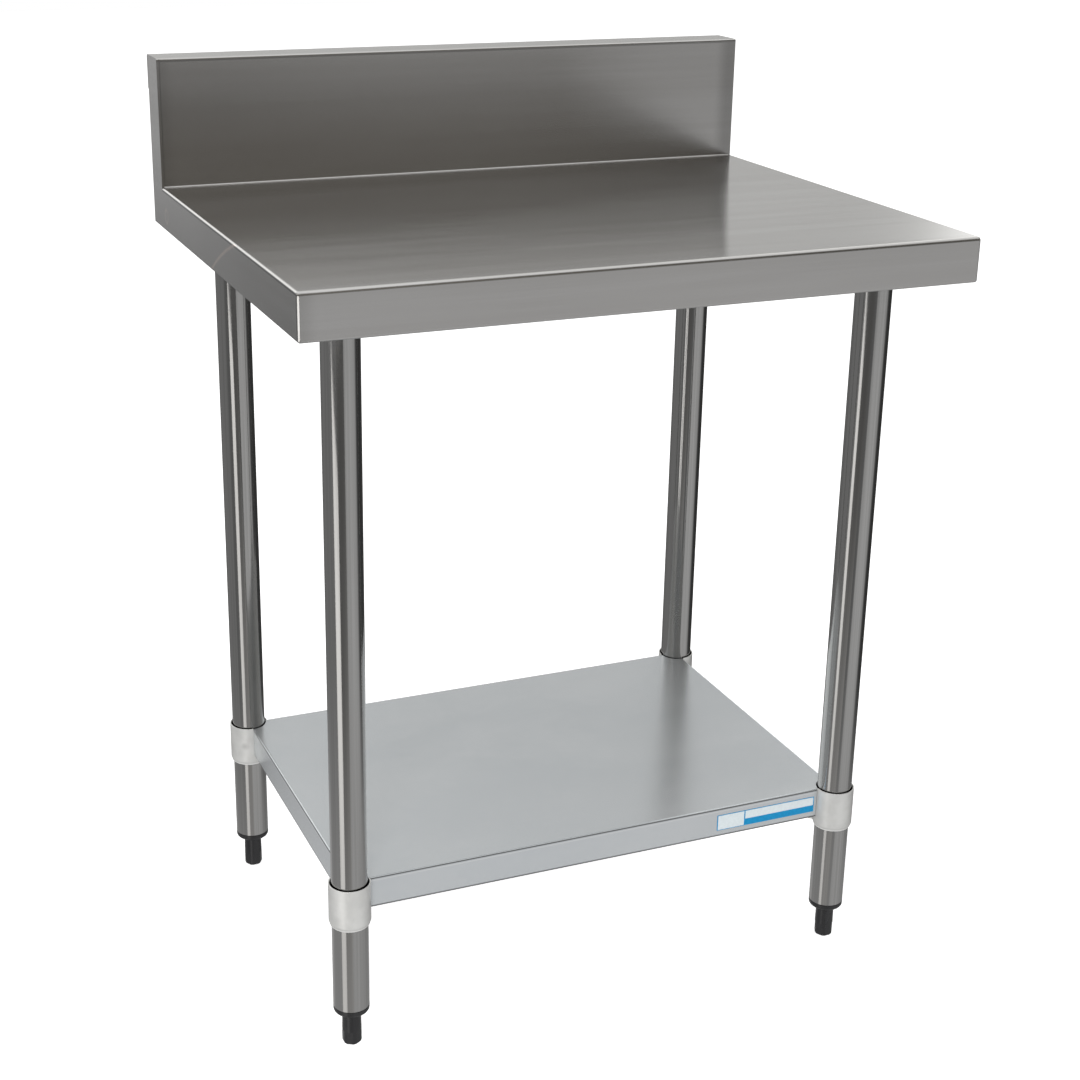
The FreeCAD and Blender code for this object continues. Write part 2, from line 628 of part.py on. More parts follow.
def foot(corner, axis_x, axis_y, turn):
    """Moulded foot: a round stem that swells towards the floor, with spanner flats."""
    body = new_body(f"foot_{corner}")
    section = new_sketch(body, f"foot_section_{corner}", "XZ_Plane")
    outline(section, [
        ("0", "0"),
        ("Dims.foot_low_radius", "0"),
        ("Dims.foot_low_radius", "Dims.foot_flat_rise"),
        ("Dims.foot_top_radius", "Dims.foot_top"),
        ("Dims.stud_radius + Dims.nut_gap", "Dims.foot_top"),
        ("Dims.stud_radius + Dims.nut_gap", "Dims.stud_seat"),
        ("0", "Dims.stud_seat"),
    ])
    revolve(body, section)
    flats = new_sketch(body, f"foot_flats_{corner}", "XY_Plane")
    circle(flats, "2 * Dims.foot_low_radius")
    outline(flats, hexagon("Dims.foot_flat / cos(30 deg)"))
    extrude("Pocket", body, flats, "Dims.foot_flat_rise", reverse=True)
    floor_edges = [index for index, edge in enumerate(body.Tip.Shape.Edges, start=1)
                   if edge.BoundBox.ZMax < TOUCH]
    base = body.Tip
    rounding = body.newObject("PartDesign::Fillet", f"foot_rounding_{corner}")
    rounding.Base = (base, [f"Edge{index}" for index in floor_edges])
    rounding.setExpression("Radius", "Dims.foot_round")
    doc.recompute()
    place(body, axis_x, axis_y, turn=Rotation(UP, turn))


def foot_stud(corner, axis_x, axis_y):
    """Threaded stud of a foot; it turns in the plug's nut to set the height."""
    body = new_body(f"foot_stud_{corner}")
    section = new_sketch(body, f"stud_section_{corner}", "XY_Plane", "Dims.stud_seat")
    circle(section, "Dims.stud_radius")
    extrude("Pad", body, section, "Dims.stud_top - Dims.stud_seat")
    dress("Chamfer", body, f"stud_lead_{corner}", [("0", "Dims.stud_radius", "Dims.stud_top")],
          "Dims.stud_radius / 6")
    place(body, axis_x, axis_y)


# ---------------------------------------------------------------- undershelf

def shelf_pan():
    """Folded shelf with turned-down edges that end at the leg collars; its corners lie on them."""
    body = new_body("shelf_pan")
    low = ("-Dims.leg_x", "-Dims.leg_front")
    high = ("Dims.leg_x", "Dims.leg_back")
    blank = new_sketch(body, "shelf_blank", "XY_Plane", SHELF_LOW)
    rectangle(blank, low, high)
    extrude("Pad", body, blank, "Dims.shelf_apron")
    bends = [("0", "-Dims.leg_front", "Dims.shelf_top"), ("0", "Dims.leg_back", "Dims.shelf_top"),
             ("-Dims.leg_x", "0", "Dims.shelf_top"), ("Dims.leg_x", "0", "Dims.shelf_top"),
             ("0", "-Dims.leg_front", SHELF_LOW), ("0", "Dims.leg_back", SHELF_LOW),
             ("-Dims.leg_x", "0", SHELF_LOW), ("Dims.leg_x", "0", SHELF_LOW)]
    dress("Fillet", body, "shelf_bends", bends, "Dims.shelf_bend")

    hollow = new_sketch(body, "shelf_hollow", "XY_Plane", SHELF_LOW + " + Dims.shelf_sheet")
    rectangle(hollow, *[inset(corner, "Dims.shelf_sheet") for corner in (low, high)])
    extrude("Pocket", body, hollow, "Dims.shelf_apron - 2 * Dims.shelf_sheet", reverse=True)
    mouth = new_sketch(body, "shelf_mouth", "XY_Plane", SHELF_LOW)
    rectangle(mouth, *[inset(corner, "Dims.shelf_hem") for corner in (low, high)])
    extrude("Pocket", body, mouth, "Dims.shelf_sheet", reverse=True)

    notches = new_sketch(body, "shelf_notches", "XY_Plane", SHELF_LOW)
    openings = new_sketch(body, "shelf_openings", "XY_Plane", SHELF_LOW)
    for axis_x, axis_y in leg_axes():
        circle(notches, "Dims.collar_radius + Dims.collar_seat", axis_x, axis_y)
        circle(openings, "Dims.collar_bore", axis_x, axis_y)
    extrude("Pocket", body, notches, "Dims.shelf_apron - Dims.shelf_sheet", reverse=True)
    extrude("Pocket", body, openings, "Dims.shelf_apron", reverse=True)


def inset(corner, amount):
    """Corner of a rectangle moved towards the middle of the table on both axes."""
    return tuple(f"{part} {'+' if part.startswith('-') else '-'} {amount}" for part in corner)


def shelf_rib():
    """Hat-section rib welded under the shelf."""
    body = new_body("shelf_rib")
    section = new_sketch(body, "rib_section", "YZ_Plane")
    outline(section, hat_section("Dims.rib_width", "Dims.rib_flange", SHELF_UNDER,
                                 SHELF_UNDER + " - Dims.rib_depth", "Dims.shelf_sheet"))
    extrude("Pad", body, section, "2 * Dims.rib_end", middle=True)
    bend_hat(body, "rib_bends", lambda along, height: ("0", along, height), "Dims.rib_width",
             SHELF_UNDER, SHELF_UNDER + " - Dims.rib_depth", "Dims.shelf_sheet")


def shelf_collar(corner, axis_x, axis_y, turn):
    """Cast collar around a leg: a seat for the shelf's corner, two wings and a screw boss."""
    name = f"shelf_collar_{corner}"
    ring = primitive("Cylinder", f"{name}_ring", Radius="Dims.collar_radius",
                     Height="Dims.collar_height - Dims.collar_taper_rise")
    place(ring, along_z=COLLAR_LOW + " + Dims.collar_taper_rise")
    taper = primitive("Cone", f"{name}_taper", Radius1="Dims.collar_low_radius",
                      Radius2="Dims.collar_radius", Height="Dims.collar_taper_rise")
    place(taper, along_z=COLLAR_LOW)
    screw_height = "Dims.collar_top - Dims.collar_boss_below"
    boss = radial_boss(f"{name}_boss", "Dims.boss_radius", "Dims.collar_boss_reach", screw_height)
    wing_low = SHELF_UNDER + " - Dims.wing_margin - Dims.wing_height"
    wings = []
    for index, (length, width, along, across) in enumerate((
            ("Dims.wing_reach", "Dims.wing_thick", "0", "Dims.shelf_sheet"),
            ("Dims.wing_thick", "Dims.wing_reach", "Dims.shelf_sheet", "0"))):
        wing = primitive("Box", f"{name}_wing_{index}", Length=length, Width=width,
                         Height="Dims.wing_height")
        place(wing, along, across, wing_low)
        wings.append(wing)
    casting = combine("MultiFuse", f"{name}_casting", ring, [taper, boss, *wings])
    bore = primitive("Cylinder", f"{name}_bore", Radius="Dims.collar_bore",
                     Height="Dims.collar_height - Dims.collar_throat_rise")
    place(bore, along_z=COLLAR_LOW + " + Dims.collar_throat_rise")
    throat = primitive("Cylinder", f"{name}_throat", Radius="Dims.collar_throat",
                       Height="Dims.collar_throat_rise")
    place(throat, along_z=COLLAR_LOW)
    thread = radial_boss(f"{name}_thread", "Dims.grub_radius", "Dims.collar_boss_reach",
                         screw_height)
    seat = primitive("Box", f"{name}_seat", Length="Dims.collar_radius",
                     Width="Dims.collar_radius", Height=f"Dims.collar_top - ({SHELF_UNDER})")
    place(seat, along_z=SHELF_UNDER)
    tools = combine("MultiFuse", f"{name}_cuts", bore, [throat, thread, seat])
    rough = combine("Cut", f"{name}_rough", casting, tools)
    rims = edges_through(rough, [("0", "-Dims.collar_radius", "Dims.collar_top"),
                                 ("0", "-Dims.collar_bore", "Dims.collar_top")])
    item = keep(round_edges(name, rough, rims, "Dims.collar_round"), name)
    place(item, axis_x, axis_y, turn=Rotation(UP, turn))


def label_plate():
    """Blank plate on the shelf's front edge."""
    body = new_body("label_plate")
    face = new_sketch(body, "label_face", "XZ_Plane", "Dims.leg_front")
    half = "Dims.label_width / 2"
    rectangle(face, (f"Dims.label_middle - {half}", "Dims.label_low"),
              (f"Dims.label_middle + {half}", "Dims.label_low + Dims.label_height"))
    extrude("Pad", body, face, "Dims.label_thick")


# ---------------------------------------------------------------- build and write

def check_document():
    for item in doc.Objects:
        if {"Invalid", "Error"} & set(item.State):
            raise RuntimeError(f"{item.Name} failed: {item.State}")
    for item in pieces:
        if item.Shape.isNull() or not item.Shape.isValid() or not item.Shape.Solids:
            raise RuntimeError(f"{item.Label} has no valid solid")


def write_pieces():
    os.makedirs("parts", exist_ok=True)
    for item in pieces:
        item.Shape.exportStep(f"parts/{item.Label}.step")
        box = item.Shape.BoundBox
        print(f"{item.Label:28s} {len(item.Shape.Solids):2d} solids {item.Shape.Volume / 1e3:9.2f} cm3"
              f"  x {box.XMin:7.1f} {box.XMax:7.1f}  y {box.YMin:7.1f} {box.YMax:7.1f}"
              f"  z {box.ZMin:7.1f} {box.ZMax:7.1f}")


dims = make_sheet()
work_top()
splash_cap("left", -1)
splash_cap("right", 1)
cross_channel("left", "-Dims.leg_x")
cross_channel("right", "Dims.leg_x")
middle_channel()
for corner_name, leg_at_x, leg_at_y, quarter in CORNERS:
    leg_socket(corner_name, leg_at_x, leg_at_y, quarter)
    leg(corner_name, leg_at_x, leg_at_y)
    foot_plug(corner_name, leg_at_x, leg_at_y)
    foot(corner_name, leg_at_x, leg_at_y, quarter)
    foot_stud(corner_name, leg_at_x, leg_at_y)
    shelf_collar(corner_name, leg_at_x, leg_at_y, quarter)
socket_bolts()
socket_nuts()
foot_nuts()
grub_screws("socket_grub_screws", "Dims.leg_radius",
            SOCKET_CEILING + " - Dims.socket_boss_below")
grub_screws("collar_grub_screws", "Dims.leg_radius + Dims.collar_grub_gap",
            "Dims.collar_top - Dims.collar_boss_below")
shelf_pan()
shelf_rib()
label_plate()
doc.recompute()
check_document()
write_pieces()
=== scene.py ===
import json
import math

import bmesh
import bpy
from mathutils import Matrix, Vector


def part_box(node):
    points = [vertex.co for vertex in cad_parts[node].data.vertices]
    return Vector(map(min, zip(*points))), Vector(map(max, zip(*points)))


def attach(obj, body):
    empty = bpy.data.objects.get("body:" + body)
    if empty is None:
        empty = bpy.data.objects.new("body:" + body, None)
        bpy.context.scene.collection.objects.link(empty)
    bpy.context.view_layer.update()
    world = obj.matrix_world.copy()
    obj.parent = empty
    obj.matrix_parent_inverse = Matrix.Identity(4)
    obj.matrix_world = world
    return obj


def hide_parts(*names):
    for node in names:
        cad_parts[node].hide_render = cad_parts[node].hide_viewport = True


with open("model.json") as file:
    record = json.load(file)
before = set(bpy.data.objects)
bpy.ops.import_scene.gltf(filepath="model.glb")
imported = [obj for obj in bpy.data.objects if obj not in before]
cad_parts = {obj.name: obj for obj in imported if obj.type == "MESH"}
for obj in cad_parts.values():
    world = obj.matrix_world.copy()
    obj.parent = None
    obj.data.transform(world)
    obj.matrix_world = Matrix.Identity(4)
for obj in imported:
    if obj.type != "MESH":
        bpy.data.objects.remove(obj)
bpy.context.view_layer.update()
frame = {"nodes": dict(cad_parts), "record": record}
scene = bpy.context.scene
nodes = frame["nodes"]
CORNERS = ("front_left", "front_right", "back_right", "back_left")

# The camera stands to the left in front of the table, above the work surface. Its lens and sensor
# are in millimetres; all other lengths here are in metres.
CAMERA_PLACE = Vector((-0.864, -1.975, 1.316))
CAMERA_YAW = math.radians(22.44)
CAMERA_PITCH = math.radians(-19.69)
CAMERA_ROLL = math.radians(0.71)
CAMERA_LENS = 63.44
CAMERA_SHIFT = (0.037, -0.037)
SENSOR = 36.0
CLIP = (0.05, 50.0)

# The floor lies a hair below the feet. Its glow keeps it pale in the soft light.
FLOOR_HALF = 12.0
FLOOR_GAP = 0.0005
FLOOR_GLOW = 0.65

# A face looks along an axis where its normal has more than this share of it.
FACING = 0.7

# Tolerance for a place that lies on a face.
HAIR = 0.0005

# Sockets of the mix node by number, because their names repeat.
MIX_FACTOR = 0
MIX_VECTORS = (4, 5)
MIX_COLOURS = (6, 7)
MIX_VECTOR_OUT = 1
MIX_COLOUR_OUT = 2

# Folded top: painted shade lines along its folds, painted shade at the ends of its long faces, and heat
# marks on its left side. The painted shade at an end is full at the first distance from the end and
# gone at the second. Centres of the marks are (Y, Z) places on that side.
DECK_HEIGHT = 0.9
SPLASH_DEPTH = 0.05
BEND_SHADE_INSET = 0.0034
BEND_SHADE_REACH = 0.0015
BEND_SHADE_FRONT = 0.4
BEND_SHADE_SIDE = 0.55
LEFT_END = (0.002, 0.022)
LEFT_END_SHADE = 0.14
RIGHT_END = (0.008, 0.030)
RIGHT_END_SHADE = 0.28
HEAT_ARC_CENTRE = (-0.223, 0.445, 0.0)
HEAT_ARC_RADIUS = 0.476
HEAT_ARC_REACH = 0.0034
HEAT_ARC_TINT = 0.9
WELD_RING_CENTRE = (0.238, 0.869, 0.0)
WELD_RING_RADIUS = 0.008
WELD_RING_REACH = 0.0026
WELD_RING_TINT = 0.6

# Painted lines along the undershelf's folds: distance from its top or bottom, reach, strength and
# shade.
# The dark lines are painted shade; the light line under the upper fold is a painted highlight.
UPPER_FOLD_SHADE = (0.0015, 0.0014, 0.75, 0.01)
UPPER_FOLD_HIGHLIGHT = (0.0042, 0.0011, 0.4, 0.85)
LOWER_FOLD_SHADE = (0.0012, 0.0024, 1.0, 0.03)

# Castings round the legs: radius of the bore, wall, height of the painted highlight along the lip, and
# the ejector mark on a flank, darkened with painted shade.
COLLAR_BORE = 0.0222
COLLAR_WALL = 0.0032
LIP_HIGHLIGHT_RISE = 0.0006
LIP_HIGHLIGHT_REACH = 0.0012
LIP_HIGHLIGHT = 0.8
DIMPLE_RISE = 0.027
DIMPLE_BEARING = 62.0
DIMPLE_RADIUS = 0.0075
DIMPLE_SHADE = 0.42

# Blank plate: shares of its width and height.
LABEL_DIVIDER = 0.28
LABEL_BAND = 0.44
LABEL_DIVIDER_HALF = 0.006
LABEL_BORDER_ACROSS = 0.008
LABEL_BORDER_UP = 0.035

# Threads, bolts and welds. The thread's flank is a row of (share of the pitch, depth) points. The
# welds are spaced evenly, with a share of a space before the first one. Angles are in degrees.
RING_STEPS = 24
MERGE_DISTANCE = 0.000002
SMOOTH_ANGLE = 38
THREAD_PITCH = 0.0015
THREAD_DEPTH = 0.0009
THREAD_CHAMFER = 0.0011
THREAD_FLANK = ((0.0, THREAD_DEPTH), (0.125, THREAD_DEPTH), (0.5, 0.0), (0.625, 0.0))
BOLT_SPREAD = 0.033
BOLT_HEAD = 0.0055
BOLT_HEAD_RISE = 0.0035
BOLT_RIM_RISE = 0.0004
BOLT_RIM_CHAMFER = 0.0002
BOLT_DOME_RISE = 0.0031395
BOLT_DOME_STEPS = 6
BOLT_DOME_FIRST = 30
BOLT_DOME_STEP = 12
BOLT_SHANK = 0.003
BOLT_TIP_CHAMFER = 0.0005
BOLT_KEY = 0.0023
BOLT_KEY_DEPTH = 0.0019
BOLT_KEY_CONE = 0.0003
BOLT_KEY_LEAD = 0.0001
BOLT_KEY_MOUTH = 1.12
WELD_COUNT = 5
WELD_FIRST = 0.35
WELD_LENGTH = 0.026
WELD_RADIUS = 0.0022
WELD_RIPPLES = 9
WELD_RIPPLE_DEPTH = 0.14
WELD_ROWS = 40
WELD_STEPS = 12
WELD_TAPER = 8
WELD_END = 0.02
WELD_FLATNESS = 0.62
WELD_BELOW_DECK = 0.0013


# ---------------------------------------------------------------- node tree helpers

class Tree:
    """Short spelling for building a node tree."""

    def __init__(self, tree):
        self.tree = tree
        self.tree.nodes.clear()

    def add(self, kind, inputs=None, **settings):
        item = self.tree.nodes.new(kind)
        for name, value in settings.items():
            setattr(item, name, value)
        for name, value in (inputs or {}).items():
            self.feed(item, name, value)
        return item

    def feed(self, item, name, value):
        if isinstance(value, bpy.types.NodeSocket):
            self.tree.links.new(value, item.inputs[name])
        else:
            item.inputs[name].default_value = value

    def math(self, operation, *values):
        item = self.add("ShaderNodeMath", operation=operation)
        for index, value in enumerate(values):
            self.feed(item, index, value)
        return item.outputs[0]

    def span(self, value, low, high, to_low, to_high, smooth=True):
        """Map a value from one range to another, held at the ends."""
        item = self.add("ShaderNodeMapRange",
                        interpolation_type="SMOOTHSTEP" if smooth else "LINEAR")
        for index, part in enumerate((value, low, high, to_low, to_high)):
            self.feed(item, index, part)
        return item.outputs[0]

    def noise(self, vector, scale=1.0, detail=3.0, roughness=0.5, distortion=0.0):
        item = self.add("ShaderNodeTexNoise", {
            "Vector": vector, "Scale": scale, "Detail": detail, "Roughness": roughness,
            "Distortion": distortion})
        return item.outputs[0]

    def stretch(self, vector, scale):
        item = self.add("ShaderNodeMapping", {"Vector": vector, "Scale": scale})
        return item.outputs[0]

    def blend(self, factor, first, second, mode="MIX"):
        item = self.add("ShaderNodeMix", data_type="RGBA", blend_type=mode)
        self.feed(item, MIX_FACTOR, factor)
        for socket, colour in zip(MIX_COLOURS, (first, second)):
            self.feed(item, socket, colour)
        return item.outputs[MIX_COLOUR_OUT]

    def bump(self, height, strength, distance, normal=None):
        inputs = {"Height": height, "Strength": strength, "Distance": distance}
        if normal is not None:
            inputs["Normal"] = normal
        return self.add("ShaderNodeBump", inputs).outputs[0]

    def place(self):
        """Position in the row frame, in metres, at rest."""
        return self.add("ShaderNodeTexCoord").outputs["Object"]

    def gap(self, value, middle):
        """How far a value is from the middle, either way."""
        return self.math("ABSOLUTE", self.math("SUBTRACT", value, middle))

    def near(self, value, middle, reach):
        """1 where the value is at the middle, falling to 0 at the reach."""
        return self.span(self.gap(value, middle), 0.0, reach, 1.0, 0.0)

    def distance(self, place, centre):
        """Distance of a place from a fixed point."""
        return self.add("ShaderNodeVectorMath", {0: place, 1: centre},
                        operation="DISTANCE").outputs["Value"]

    def looks_along(self, part):
        """1 on faces that look along the axis of this part of their normal."""
        return self.math("GREATER_THAN", self.math("ABSOLUTE", part), FACING)

    def product(self, *values):
        result = values[0]
        for value in values[1:]:
            result = self.math("MULTIPLY", result, value)
        return result

    def parts(self, vector):
        return self.add("ShaderNodeSeparateXYZ", {0: vector}).outputs

    def vector(self, *values):
        return self.add("ShaderNodeCombineXYZ",
                        {index: value for index, value in enumerate(values)}).outputs[0]


def new_material(name):
    material = bpy.data.materials.new(name)
    material.use_nodes = True
    tree = Tree(material.node_tree)
    surface = tree.add("ShaderNodeBsdfPrincipled")
    output = tree.add("ShaderNodeOutputMaterial")
    tree.tree.links.new(surface.outputs[0], output.inputs[0])
    return material, tree, surface


def rgb(red, green, blue):
    return (red, green, blue, 1.0)


def grey(value):
    return (value, value, value, 1.0)


def axis_of(node):
    """Upright axis of a round node, with its lower and upper ends and its radius."""
    low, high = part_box(node)
    return (low.x + high.x) / 2, (low.y + high.y) / 2, low.z, high.z, (high.x - low.x) / 2


# ---------------------------------------------------------------- materials

def grain_frame(tree):
    """Place, grain and tangent of rolled sheet: its grain is along Y on faces that look along X."""
    place = tree.place()
    along_x, along_y, along_z = tree.parts(place)
    face = tree.add("ShaderNodeNewGeometry").outputs["Normal"]
    normal = tree.parts(face)
    sideways = tree.looks_along(normal[0])
    across = tree.math("ADD", along_y, along_z)
    mixed = tree.add("ShaderNodeMix", data_type="VECTOR")
    tree.feed(mixed, MIX_FACTOR, sideways)
    tree.feed(mixed, MIX_VECTORS[0], tree.vector(along_x, across, 0.0))
    tree.feed(mixed, MIX_VECTORS[1], tree.vector(along_y, along_z, 0.0))
    level = tree.looks_along(normal[2])
    tangent = tree.vector(0.0, level, tree.math("SUBTRACT", 1.0, level))
    return place, mixed.outputs[MIX_VECTOR_OUT], tangent, face


def painted_end_shade(tree, along_x, low, high, above_deck):
    """Painted shade at the ends of the long faces; the right one only on the splashback."""
    left = tree.span(along_x, low.x + LEFT_END[0], low.x + LEFT_END[1], LEFT_END_SHADE, 0.0)
    right = tree.span(along_x, high.x - RIGHT_END[1], high.x - RIGHT_END[0], 0.0, RIGHT_END_SHADE)
    return tree.math("ADD", left, tree.product(right, above_deck))


def heat_marks(tree, along_x, along_y, along_z, left_face):
    """Tinted arc and weld ring on the left side."""
    on_left = tree.math("LESS_THAN", along_x, left_face + HAIR)
    spot = tree.vector(along_y, along_z, 0.0)
    arc = tree.near(tree.distance(spot, HEAT_ARC_CENTRE), HEAT_ARC_RADIUS, HEAT_ARC_REACH)
    ring = tree.near(tree.distance(spot, WELD_RING_CENTRE), WELD_RING_RADIUS, WELD_RING_REACH)
    return tree.math("MAXIMUM", tree.product(on_left, arc, HEAT_ARC_TINT),
                     tree.product(on_left, ring, WELD_RING_TINT))


def painted_shade_and_heat_tint(tree, place, face):
    """Share of the folded top's colour left after painted shade along its bends and at the ends of its
    long faces, from 0 to 1, and how far heat has tinted it.
    """
    low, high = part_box("work_top")
    along_x, along_y, along_z = tree.parts(place)
    long_face = tree.looks_along(tree.parts(face)[1])
    above_deck = tree.math("GREATER_THAN", along_z, DECK_HEIGHT)
    # Painted shade at the ends of the long faces.
    ends = tree.product(long_face, painted_end_shade(tree, along_x, low, high, above_deck))

    # Painted shade: dark lines along the bends of the top.
    top_line = tree.near(along_z, high.z - BEND_SHADE_INSET, BEND_SHADE_REACH)
    end_line = tree.product(tree.near(along_x, low.x + BEND_SHADE_INSET, BEND_SHADE_REACH), above_deck)
    long_lines = tree.product(long_face, tree.math("MAXIMUM", top_line, end_line), BEND_SHADE_FRONT)

    side = tree.math("GREATER_THAN", tree.math("ABSOLUTE", along_x), high.x - HAIR)
    ahead_of_splash = tree.math("LESS_THAN", along_y, high.y - SPLASH_DEPTH)
    deck_line = tree.product(tree.near(along_z, DECK_HEIGHT - BEND_SHADE_INSET, BEND_SHADE_REACH),
                             ahead_of_splash)
    front_line = tree.near(along_y, low.y + BEND_SHADE_INSET, BEND_SHADE_REACH)
    side_lines = tree.product(side, tree.math("MAXIMUM", deck_line, front_line), BEND_SHADE_SIDE)

    painted_shade = tree.math("MAXIMUM", tree.math("MAXIMUM", ends, long_lines), side_lines)
    return (tree.math("SUBTRACT", 1.0, painted_shade),
            heat_marks(tree, along_x, along_y, along_z, low.x))


def stainless_sheet():
    """Satin-rolled stainless sheet: fine straight grain, faint long smears, a slow waviness."""
    material, tree, surface = new_material("satin_stainless_sheet")
    place, grain, tangent, face = grain_frame(tree)
    fine = tree.noise(tree.stretch(grain, (5.0, 1400.0, 1.0)), detail=2.0)
    bands = tree.noise(tree.stretch(grain, (1.2, 55.0, 1.0)), detail=4.0, roughness=0.6)
    smear = tree.noise(tree.stretch(grain, (1.6, 9.0, 1.0)), detail=4.0, roughness=0.6,
                       distortion=0.4)
    wave = tree.noise(tree.stretch(place, (2.2, 3.4, 3.4)), detail=1.0)
    tone = tree.math("ADD", tree.span(bands, 0.3, 0.7, 0.0, 0.5), tree.span(smear, 0.3, 0.7, 0.0, 0.5))
    colour = tree.blend(tone, rgb(0.568, 0.558, 0.545), rgb(0.640, 0.634, 0.626))
    # Painted shade along the bends and at the ends darkens the colour; the heat tint is the sheet's
    # own.
    unshaded, heat = painted_shade_and_heat_tint(tree, place, face)
    colour = tree.blend(1.0, colour, tree.vector(unshaded, unshaded, unshaded), "MULTIPLY")
    colour = tree.blend(heat, colour, rgb(0.90, 0.80, 0.75))
    rough = tree.math("ADD", tree.span(fine, 0.25, 0.75, 0.136, 0.158),
                      tree.span(smear, 0.35, 0.75, 0.0, 0.015))
    surface.inputs["Metallic"].default_value = 1.0
    surface.inputs["Anisotropic"].default_value = 1.0
    tree.feed(surface, "Base Color", colour)
    tree.feed(surface, "Roughness", rough)
    tree.feed(surface, "Normal", tree.bump(wave, strength=0.15, distance=0.002))
    tree.feed(surface, "Tangent", tangent)
    return material


def stainless_tube():
    """Polished tube with faint lengthwise draw lines."""
    material, tree, surface = new_material("polished_stainless_tube")
    place = tree.place()
    draw = tree.noise(tree.stretch(place, (420.0, 420.0, 3.0)), detail=2.0)
    rings = tree.noise(tree.stretch(place, (40.0, 40.0, 900.0)), detail=2.0)
    smear = tree.noise(place, scale=9.0, detail=4.0, roughness=0.6)
    colour = tree.blend(tree.span(draw, 0.3, 0.7, 0.0, 1.0), rgb(0.457, 0.453, 0.446),
                        rgb(0.505, 0.501, 0.494))
    rough = tree.math("ADD", tree.span(smear, 0.3, 0.7, 0.09, 0.13),
                      tree.span(rings, 0.3, 0.7, 0.0, 0.03))
    surface.inputs["Metallic"].default_value = 1.0
    surface.inputs["Anisotropic"].default_value = 0.4
    tree.feed(surface, "Base Color", colour)
    tree.feed(surface, "Roughness", rough)
    tree.feed(surface, "Normal", tree.bump(draw, strength=0.15, distance=0.00004))
    tree.feed(surface, "Tangent", tree.vector(0.0, 0.0, 1.0))
    return material


def galvanised_sheet(name, painted_fold_lines):
    """Dull zinc-coated sheet with a faint small spangle; its folds carry painted shade and painted
    highlight lines.
    """
    material, tree, surface = new_material(name)
    place = tree.place()
    spangle = tree.add("ShaderNodeTexVoronoi", {"Vector": place, "Scale": 160.0})
    cells = tree.parts(spangle.outputs["Color"])[0]
    cloud = tree.noise(tree.stretch(place, (4.0, 6.0, 6.0)), detail=4.0, roughness=0.6,
                       distortion=0.5)
    fine = tree.noise(tree.stretch(place, (30.0, 500.0, 500.0)), detail=2.0)
    tone = tree.math("ADD", tree.product(cells, 0.1), tree.product(cloud, 0.9))
    colour = tree.blend(tree.span(tone, 0.25, 0.75, 0.0, 1.0), rgb(0.615, 0.645, 0.666),
                        rgb(0.655, 0.68, 0.696))
    height = tree.parts(place)[2]
    # Painted shade and painted highlight lines along the folds.
    for middle, reach, strength, shade in painted_fold_lines:
        line = tree.product(tree.near(height, middle, reach), strength)
        colour = tree.blend(line, colour, grey(shade))
    rough = tree.math("ADD", tree.span(cells, 0.0, 1.0, 0.215, 0.22),
                      tree.span(cloud, 0.3, 0.7, 0.0, 0.03))
    surface.inputs["Metallic"].default_value = 0.74
    tree.feed(surface, "Base Color", colour)
    tree.feed(surface, "Roughness", rough)
    tree.feed(surface, "Normal", tree.bump(fine, strength=0.05, distance=0.00005))
    return material


def shelf_sheet():
    """Galvanised sheet: a line of painted shade and one of painted highlight along the upper fold,
    painted shade along the lower one.
    """
    low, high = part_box("shelf_pan")
    painted_fold_lines = [(high.z - below, *look) for below, *look in (UPPER_FOLD_SHADE, UPPER_FOLD_HIGHLIGHT)]
    above, *look = LOWER_FOLD_SHADE
    painted_fold_lines.append((low.z + above, *look))
    return galvanised_sheet("galvanised_shelf", painted_fold_lines)


def cast_aluminium(name, dark, light, highlight_height):
    """Die-cast, lightly tumbled aluminium: matte under a thin clear film, with a painted highlight at
    its lip, painted shade on the ejector mark and painted shade in the bore.
    """
    material, tree, surface = new_material(name)
    place = tree.place()
    skin = tree.noise(place, scale=900.0, roughness=0.6)
    patch = tree.noise(place, scale=45.0, roughness=0.55)
    colour = tree.blend(tree.span(patch, 0.3, 0.7, 0.0, 1.0), dark, light)
    surface.inputs["Metallic"].default_value = 0.5
    surface.inputs["Coat Weight"].default_value = 0.6
    surface.inputs["Coat Roughness"].default_value = 0.2
    height = tree.parts(place)[2]
    # Painted highlight along the lip.
    lip_highlight = tree.near(height, highlight_height, LIP_HIGHLIGHT_REACH)
    colour = tree.blend(tree.product(lip_highlight, LIP_HIGHLIGHT), colour, rgb(0.92, 0.92, 0.91))
    # Painted shade on the ejector mark.
    dimple_shade = tree.product(collar_dimple_shade(tree, place), DIMPLE_SHADE)
    colour = tree.blend(dimple_shade, colour, grey(0.25))
    # Painted shade: the bore is near-black.
    colour = tree.blend(bore_shadow(tree, place), colour, grey(0.02))
    tree.feed(surface, "Base Color", colour)
    tree.feed(surface, "Roughness", tree.span(patch, 0.3, 0.7, 0.42, 0.5))
    dents = tree.bump(patch, strength=0.2, distance=0.001)
    tree.feed(surface, "Normal", tree.bump(skin, strength=0.2, distance=0.0001, normal=dents))
    return material


